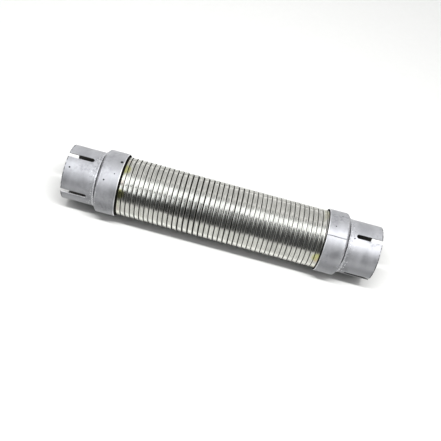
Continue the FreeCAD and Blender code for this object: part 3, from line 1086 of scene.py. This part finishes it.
@dataclass
class SlottedTube(EndPiece):
    """An end tube with four slots, open at its mouth, whose walls stand square to the sheet."""

    look = "tube"
    part = "slotted_tube"
    slot = Slot.PAINT
    first_slot: float
    spacing: float = math.radians(98.3)
    wall: float = 1.8 * MM
    slot_width: float = 8.4 * MM
    slot_length: float = 50.0 * MM
    edge_bend: float = 0.2 * MM
    sharp: float = math.radians(50)
    straight_rows: int = 14
    bend_rows: int = 10
    columns: int = 30

    def depths(self, length: float) -> tuple[np.ndarray, int]:
        """Gives the rows' distances from the mouth, closer together round the slots' ends.

        Args:
            length: The tube's length.

        Returns:
            The distances, and the row at the top of the round end.
        """
        half = self.slot_width / 2
        straight = np.linspace(0.0, self.slot_length - half, self.straight_rows)
        bend = self.slot_length - half + half * np.sin(np.radians(np.linspace(0, 90, self.bend_rows)))[1:]
        rest = np.linspace(self.slot_length, length, self.straight_rows)[1:]
        return np.concatenate((straight, bend, rest)), len(straight) + len(bend) - 1

    def half_width(self, depth: np.ndarray) -> np.ndarray:
        """Gives half the slot's width at a depth: straight, then the chord of its round end.

        Args:
            depth: Distances from the mouth.

        Returns:
            Half the width at each.
        """
        half = self.slot_width / 2
        beyond = np.clip(depth - (self.slot_length - half), 0.0, half)
        return np.sqrt(np.maximum(half**2 - beyond**2, 0.0))

    def sectors(self) -> list[Span]:
        """Gives where each of the four sectors between slots starts, and how wide it is.

        Each cut goes through both walls, so the slots lie in opposite pairs.

        Returns:
            Starts and widths, in radians.
        """
        near = self.spacing if self.end is End.OUTLET else math.pi - self.spacing
        widths = (near, math.pi - near) * 2
        return [(self.first_slot + sum(widths[:number]), width) for number, width in enumerate(widths)]

    def build(self) -> Object:
        """Builds the tube, sector by sector between its slots.

        In a sector the turn runs from one slot's side to the next one's, so the rows follow the
        slots' outline.

        Returns:
            The tube.
        """
        low, high = self.box
        outer = max(high.y, high.z, -low.y, -low.z)
        depth, tip = self.depths(high.x - low.x)
        _, mouth = self.end.sides(self.box)
        along = mouth - self.end.value * depth
        share = np.linspace(0.0, 1.0, self.columns + 1)[:, None]
        flip = self.end is End.OUTLET
        mesh = self.start()
        for first, width in self.sectors():
            sheets = []
            for radius in (outer, outer - self.wall):
                side = np.arcsin(self.half_width(depth) / radius)
                turn = first + side + share * (width - 2 * side)
                sheets.append((on_pipe(along, radius, turn), on_chart(turn * outer + 1.0, along)))
            for sheet, turned in zip(sheets, (flip, not flip)):
                mesh.add_grid(*sheet, flip=turned)
            for row, turned in ((0, not flip), (-1, flip)):
                rim = (np.stack([grid[:, row] for grid in pair], axis=1) for pair in zip(*sheets))
                mesh.add_grid(*rim, flip=turned)
            for column, turned in ((0, not flip), (-1, flip)):
                cut = (np.stack([grid[column, : tip + 1] for grid in pair]) for pair in zip(*sheets))
                mesh.add_grid(*cut, flip=turned)
        piece = mesh.finish()
        bend = piece.modifiers.new("cut_edges", "BEVEL")
        bend.width = self.edge_bend
        bend.segments = 2
        bend.limit_method = "ANGLE"
        bend.angle_limit = self.sharp
        bend.harden_normals = True
        return self.close(piece)


@dataclass
class Collar(EndPiece):
    """A rolled collar: a round part over the hose's end, a bent shoulder and a welded seam."""

    look = "rolled_collar"
    part = "collar"
    slot = Slot.PAINT
    seam_turn: float
    wall: float = 1.8 * MM
    neck_inner: float = 53.1 * MM
    neck_outer: float = 55.9 * MM
    shoulder: float = 4.99 * MM
    bend_shift: float = 0.839 * MM
    outer_bend: float = 3.4 * MM
    edge_bend: float = 0.5 * MM
    seam_width: float = 1.6 * MM
    seam_height: float = 0.3 * MM
    bead_reach: float = 0.672 * MM
    groove_place: float = 1.2 * MM
    groove_reach: float = 0.352 * MM
    pool_length: float = 0.9 * MM
    crevice: float = 0.8 * MM
    crevice_turn: float = math.radians(25)
    crevice_reach: Span = (2.5 * MM, 0.5 * MM)
    dent: float = 0.1 * MM
    columns: int = 300
    seam_columns: int = 14

    def outline(self, outer: float, depth: float) -> np.ndarray:
        """Draws the wall's section, from the mouth over the outside to the neck rim and back inside.

        Args:
            outer: The collar's outside radius.
            depth: The length from neck rim to mouth.

        Returns:
            Points as distance from the mouth and radius, going round the section.
        """
        inner = outer - self.wall
        soft = self.edge_bend
        bend = depth - self.shoulder
        corners = [
            (0.0, inner, soft),
            (0.0, outer, soft),
            (bend, outer, self.outer_bend),
            (depth, self.neck_outer, soft),
            (depth, self.neck_inner, soft),
            (bend - self.bend_shift, inner, self.outer_bend - self.wall),
        ]
        return spread(round_corners(corners, 5), 3.0 * MM)

    def opening(self, turn: np.ndarray) -> np.ndarray:
        """Gives how far the neck rim stands back from the weld: widest on two sides, and uneven.

        Args:
            turn: Angles round the collar.

        Returns:
            The crevice's width at each.
        """
        gaping = smooth_step(0.5 + 0.8 * np.cos(2 * (turn - self.crevice_turn)))
        return self.crevice * gaping * (0.5 + 0.5 * ripple(turn, (5, 9, 17, 29, 43), 21 + self.end.value))

    def seam(self, across: np.ndarray, along: np.ndarray) -> np.ndarray:
        """Gives the seam's height: a bell laid in pools, less half a narrow bell on each side.

        Args:
            across: Distances from the seam's middle, round the collar.
            along: Distances from the collar's mouth.

        Returns:
            The height over the sheet.
        """
        bead = np.exp(-((across / self.bead_reach) ** 2))
        groove = np.exp(-(((np.abs(across) - self.groove_place) / self.groove_reach) ** 2))
        pools = 0.8 + 0.28 * np.sin(along / self.pool_length)
        return self.seam_height * (bead * pools - 0.5 * groove)

    def build(self) -> Object:
        """Turns the section about the axis, with more columns across the seam.

        The seam shows on the outside only, and the whole collar has slow dents.

        Returns:
            The collar.
        """
        outer = -self.box[0].z
        mouth, neck = self.end.sides(self.box)
        depth = abs(neck - mouth)
        from_mouth, height = self.outline(outer, depth).T
        seam_reach = 3 * self.seam_width / outer
        near = np.linspace(-seam_reach, seam_reach, self.seam_columns * 2 + 1)
        far = np.linspace(seam_reach, FULL_TURN - seam_reach, self.columns)[1:]
        offset = np.concatenate((near, far))[:, None]
        turn = self.seam_turn + offset
        start, end = self.crevice_reach
        at_neck = smooth_step((from_mouth - depth + start) / (start - end))
        along = mouth + self.end.value * (from_mouth - self.opening(turn) * at_neck)
        outside = smooth_step((height - (outer - self.wall * 0.5)) / (0.4 * self.wall))
        on_cone = (from_mouth > depth - self.shoulder) & (height > self.neck_outer - self.edge_bend)
        outside = np.maximum(outside, on_cone)
        across = (offset * outer + math.pi * outer) % (FULL_TURN * outer) - math.pi * outer
        dents = self.dent * (ripple(turn, (2, 3, 5, 7), 11 + self.end.value) - 1)
        points = on_pipe(along, height + outside * self.seam(across, from_mouth) + dents, turn)
        chart = on_chart(across, from_mouth)
        mesh = self.start()
        closed = (np.concatenate((grid, grid[:, :1]), axis=1) for grid in (points, chart))
        mesh.add_grid(*closed, flip=self.end is End.INLET)
        return self.close(mesh.finish())


@dataclass
class NeckWeld(EndPiece):
    """The weld bead round the neck, laid in short overlapping pools."""

    look = "weld_bead"
    part = "neck_weld"
    slot = Slot.PAINTED_WELD
    seat: float = 53.05 * MM
    run: float = 5.2 * MM
    rise: float = 2.4 * MM
    pools: int = 150
    height_shares: Triple = (0.86, 0.08, 0.06)
    reach_shares: Triple = (0.84, 0.05, 0.11)
    dip_depth: float = 0.55
    dip_reach: float = 0.07
    toe_power: float = 1.3
    row_power: float = 1.4
    columns: int = 900
    rows: int = 12

    def build(self) -> Object:
        """Builds the bead: highest just off the collar's rim and thinning to a soft toe on the tube.

        Its height over the tube is the rise times (1 - share) to the toe's power, less a dip at
        the rim. Height and reach each have a plain share, one at the pools and an uneven one.

        Returns:
            The bead.
        """
        rim, _ = self.end.sides(self.box)
        turn = np.linspace(0.0, FULL_TURN, self.columns + 1)[:, None]
        share = np.linspace(0.0, 1.0, self.rows) ** self.row_power
        pool = np.abs(np.sin(turn * self.pools / 2 + 1.2 * ripple(turn, (5, 11, 17), 3)))
        uneven = ripple(turn, (3, 7, 13, 29, 41, 67), 5 + self.end.value)
        size, reach = (
            plain + pooled * pool + chance * uneven
            for plain, pooled, chance in (self.height_shares, self.reach_shares)
        )
        dip = 1 - self.dip_depth * np.exp(-((share / self.dip_reach) ** 2))
        height = self.rise * size * (1 - share) ** self.toe_power * dip
        along = rim + self.end.value * self.run * reach * share
        corner = on_pipe(np.full_like(turn, rim), self.seat, turn)
        points = np.concatenate((corner, on_pipe(along, self.seat + height, turn), corner), axis=1)
        arc = np.concatenate(([0.0], share * self.run, [0.0]))
        mesh = self.start()
        mesh.add_grid(points, on_chart(turn * self.seat, arc), flip=self.end is End.INLET)
        return self.close(mesh.finish())


@dataclass
class Fitting:
    """One end of the pipe: its tube, collar and weld bead. Its turns are in degrees."""

    end: End
    paint: Material
    weld: Material
    first_slot: float
    seam_turn: float

    def build(self) -> list[Object]:
        """Builds the fitting's pieces.

        Returns:
            The tube, the collar and the bead.
        """
        return [
            SlottedTube(self.end, self.paint, math.radians(self.first_slot)).build(),
            Collar(self.end, self.paint, math.radians(self.seam_turn)).build(),
            NeckWeld(self.end, self.weld).build(),
        ]


@dataclass(frozen=True)
class Sky:
    """Soft light bands that lie along the pipe.

    A band's angle is measured from the front horizon over the top to the back horizon. Each has
    its level towards the inlet and towards the outlet. The low bands lie askew.
    """

    bands: tuple[Triple, ...] = (
        (0.0, 0.08, 0.08),
        (40.0, 0.07, 0.07),
        (45.0, 2.0, 0.07),
        (50.0, 2.3, 0.07),
        (56.0, 2.3, 0.28),
        (64.0, 1.9, 0.34),
        (66.0, 0.32, 0.38),
        (70.0, 0.32, 0.42),
        (73.0, 1.7, 1.7),
        (76.0, 1.8, 1.9),
        (84.0, 1.8, 2.0),
        (91.0, 1.6, 2.0),
        (94.0, 1.4, 1.7),
        (96.5, 0.95, 0.95),
        (104.0, 0.92, 0.8),
        (112.0, 0.92, 0.8),
        (117.0, 0.95, 1.25),
        (122.0, 0.95, 1.25),
        (126.0, 0.93, 0.93),
        (170.0, 0.93, 0.93),
        (174.0, 1.6, 1.6),
        (180.0, 1.7, 1.7),
    )
    coolness: float = 0.022
    cool_end: float = 98.0
    skew: float = 22.0
    skew_fade: Span = (60.0, 98.0)
    inlet_side: float = -0.35
    outlet_side: float = -0.26
    end_dark: Triple = (0.7, 0.95, 0.25)
    glow_low: Span = (42.0, 70.0)
    glow_high: Span = (92.0, 104.0)
    inlet_glow: Triple = (-0.54, -0.38, 4.3)
    outlet_glow: Triple = (0.08, 0.28, 5.4)

    def levels(self, work: Shader, share: NodeSocket, side: int, top: float) -> NodeSocket:
        """Adds the bands of one side as a colour ramp.

        Args:
            work: The world's shader.
            share: The angle as a share of the half circle.
            side: 1 for the inlet's levels, 2 for the outlet's.
            top: The level that counts as white.

        Returns:
            The ramp's colour.
        """
        node = work.add("ValToRGB", {0: share})
        stops = node.color_ramp.elements
        for number, band in enumerate(self.bands):
            place = band[0] / 180.0
            stop = stops[number] if number < 2 else stops.new(place)
            stop.position = place
            level = band[side] / top
            cool = self.coolness if band[0] < self.cool_end else 0.0
            stop.color = shade(level * (1.0 - cool), level, level * (1.0 + cool))
        return node.outputs["Color"]

    def build(self) -> None:
        """Makes the world. What the camera sees of it past the floor is plain and pale.

        The bands' angle is the arc tangent of height over front, less a lean that grows with X.
        """
        world = bpy.data.worlds.new("studio")
        bpy.context.scene.world = world
        world.use_nodes = True
        work = Shader(world.node_tree)
        along, back, height = work.parts(work.add("TexCoord").outputs["Generated"])
        angle = work.times(work.math("ARCTAN2", height, work.times(back, -1.0)), 180.0 / math.pi)
        lean = work.times(along, self.skew, work.fade(angle, *self.skew_fade))
        share = work.math("DIVIDE", work.minus(angle, lean), 180.0, clamp=True)
        top = max(max(band[1:]) for band in self.bands)
        inlet, outlet = (self.levels(work, share, side, top) for side in (1, 2))
        level = work.mix(work.ramp(along, self.inlet_side, self.outlet_side), inlet, outlet)
        low, high, gain = self.inlet_glow
        inlet_glow = work.ramp(along, low, high, gain / top, 0.0)
        low, high, gain = self.outlet_glow
        outlet_glow = work.ramp(along, low, high, 0.0, gain / top)
        band = work.between(angle, self.glow_low, self.glow_high)
        glow = work.times(band, work.plus(inlet_glow, outlet_glow))
        lift = work.add("CombineXYZ", {0: glow, 1: glow, 2: glow}).outputs[0]
        level = work.add("VectorMath", {0: level, 1: lift}, operation="ADD").outputs[0]
        start, end, dark = self.end_dark
        dim = work.ramp(work.math("ABSOLUTE", along), start, end, top, top * dark)
        backdrop = world.node_tree.nodes["Background"]
        work.feed(backdrop, {"Color": level, "Strength": dim})
        seen = work.add("LightPath").outputs["Is Camera Ray"]
        pale = work.add("Background", {"Color": shade(1.0, 1.0, 1.0)})
        both = work.add("MixShader", {0: seen, 1: backdrop.outputs[0], 2: pale.outputs[0]})
        work.feed(world.node_tree.nodes["World Output"], {"Surface": both.outputs[0]})


@dataclass
class Studio:
    """Pale floor, soft light and the photograph's camera."""

    image_side: float = 441.0
    focal: float = 641.0
    sensor: float = 36.0
    distance: float = 1.245
    elevation: float = 55.0
    roll: float = 15.17
    pipe_place: Span = (221.93, 212.24)
    floor_size: float = 16.0
    floor_light: Colour = shade(0.283, 0.283, 0.279)
    floor_dark: Colour = shade(0.27, 0.27, 0.266)
    floor_mirrored: Colour = shade(0.25, 0.25, 0.245)
    # Painted shade far in front, and a painted line of light close to the pipe, both seen only in
    # reflections.
    floor_shaded: Colour = shade(0.03, 0.03, 0.03)
    floor_lit_line: Colour = shade(0.38, 0.38, 0.37)
    lit_line_rise: Span = (-0.088, -0.078)
    lit_line_fall: Span = (-0.062, -0.056)
    shade_edge: Span = (-0.59, -0.41)
    shade_start: float = 0.12
    shade_slope: float = 2.7
    key_size: Span = (1.5, 0.1)
    key_angle: float = 78.0
    key_distance: float = 1.8
    key_power: float = 102.0

    @staticmethod
    def raised(angle: float) -> Vector:
        """The way to the front, raised by an angle in degrees."""
        return Vector((0.0, -math.cos(math.radians(angle)), math.sin(math.radians(angle))))

    def make_camera(self) -> Object:
        """Places the camera so that the middle of the pipe falls on its place in the photograph.

        Returns:
            The camera.
        """
        back = self.raised(self.elevation)
        right = Vector((1.0, 0.0, 0.0))
        up = back.cross(right)
        lean = math.radians(self.roll)
        turned_right = right * math.cos(lean) + up * math.sin(lean)
        turned_up = up * math.cos(lean) - right * math.sin(lean)
        middle = self.image_side / 2
        aside = (self.pipe_place[0] - middle) / self.focal
        above = (middle - self.pipe_place[1]) / self.focal
        forward = (-back - turned_right * aside - turned_up * above).normalized()
        side = forward.cross(turned_up).normalized()
        upright = side.cross(forward)
        lens = bpy.data.cameras.new("view")
        lens.sensor_width = self.sensor
        lens.lens = self.sensor * self.focal / self.image_side
        lens.clip_start = 10 * MM
        camera = add_to_scene("view", lens)
        turn = Matrix((side, upright, -forward)).transposed().to_4x4()
        camera.matrix_world = Matrix.Translation(back * self.distance) @ turn
        bpy.context.scene.camera = camera
        return camera

    def make_key(self) -> Object:
        """Hangs a long narrow light along the pipe, so that the shadow on the floor has a firm edge.

        It lights soft surfaces only: what the steel mirrors is the sky.

        Returns:
            The light.
        """
        lamp = bpy.data.lights.new("key", "AREA")
        lamp.shape = "RECTANGLE"
        lamp.size, lamp.size_y = self.key_size
        lamp.energy = self.key_power
        away = self.raised(self.key_angle)
        key = add_to_scene("key", lamp)
        turn = away.to_track_quat("Z", "Y").to_matrix().to_4x4()
        key.matrix_world = Matrix.Translation(away * self.key_distance) @ turn
        key.visible_glossy = False
        return key

    def make_floor(self) -> Object:
        """Lays the pale floor under the collars.

        In reflections it is dimmer, with painted shade far in front and a painted line of light close to the
        pipe.

        Returns:
            The floor.
        """
        half = self.floor_size / 2
        ground = CAD_BOX[0].z
        sides = ((-half, -half), (half, -half), (half, half), (-half, half))
        mesh = bpy.data.meshes.new("floor")
        mesh.from_pydata([(x, y, ground) for x, y in sides], [], [(0, 1, 2, 3)])
        coat = Coat("pale_floor")
        pale = coat.mix(coat.noise(coat.place, 90.0, 3.0, 0.6), self.floor_dark, self.floor_light)
        along, back, _ = coat.parts(coat.place)
        # Painted shade on the floor far in front, seen only in reflections.
        slope = coat.times(coat.most(coat.plus(along, self.shade_start), 0.0), self.shade_slope)
        lit = coat.ramp(coat.plus(back, slope), *self.shade_edge)
        # A painted line of light on the floor close to the pipe, seen only in reflections.
        close = coat.between(back, self.lit_line_rise, self.lit_line_fall)
        mirrored = coat.mix(lit, self.floor_shaded, coat.mix(close, self.floor_mirrored, self.floor_lit_line))
        coat.colour = coat.mix(coat.add("LightPath").outputs["Is Camera Ray"], mirrored, pale)
        mesh.materials.append(coat.finish({"Roughness": 0.7, "Specular IOR Level": 0.1}))
        floor = add_to_scene("floor", mesh)
        return floor

    def build(self) -> None:
        """Makes the camera, the floor and the lights."""
        self.make_camera()
        self.make_key()
        self.make_floor()
        Sky().build()
        bpy.context.scene.view_settings.view_transform = "Standard"


def dress_hidden_welds(bead: Material) -> None:
    """Gives the hidden hose welds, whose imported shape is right, their bare steel.

    Args:
        bead: The bare weld's material.
    """
    for end in End:
        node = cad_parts[f"{end.word}_hose_weld"]
        node.data.materials.clear()
        node.data.materials.append(bead)


def main() -> None:
    """Builds the studio, the hose and both fittings, and reports each piece."""
    logging.basicConfig(level=logging.INFO, format="%(message)s")
    Studio().build()
    effects = Effects()
    paint = SilverPaint(effects).material()
    painted_weld = WeldFinish(
        effects,
        name="painted_weld_bead",
        crest=shade(0.45, 0.455, 0.475),
        pit_and_shade=shade(0.05, 0.05, 0.055),
        metallic=0.8,
        roughness=0.42,
    ).material()
    bare_weld = WeldFinish(
        effects,
        name="bare_weld_bead",
        crest=shade(0.33, 0.30, 0.27),
        pit_and_shade=shade(0.07, 0.06, 0.055),
        metallic=1.0,
        roughness=0.4,
        crease=0.0,
    ).material()
    pieces = [WoundHose(BrightStrip(effects).material()).build()]
    pieces += Fitting(End.INLET, paint, painted_weld, first_slot=-0.1, seam_turn=215.0).build()
    pieces += Fitting(End.OUTLET, paint, painted_weld, first_slot=9.0, seam_turn=24.0).build()
    dress_hidden_welds(bare_weld)
    for piece in pieces:
        LOG.info("%s: %d points, %d faces", piece.name, len(piece.data.vertices), len(piece.data.polygons))


if __name__ == "__main__":
    main()
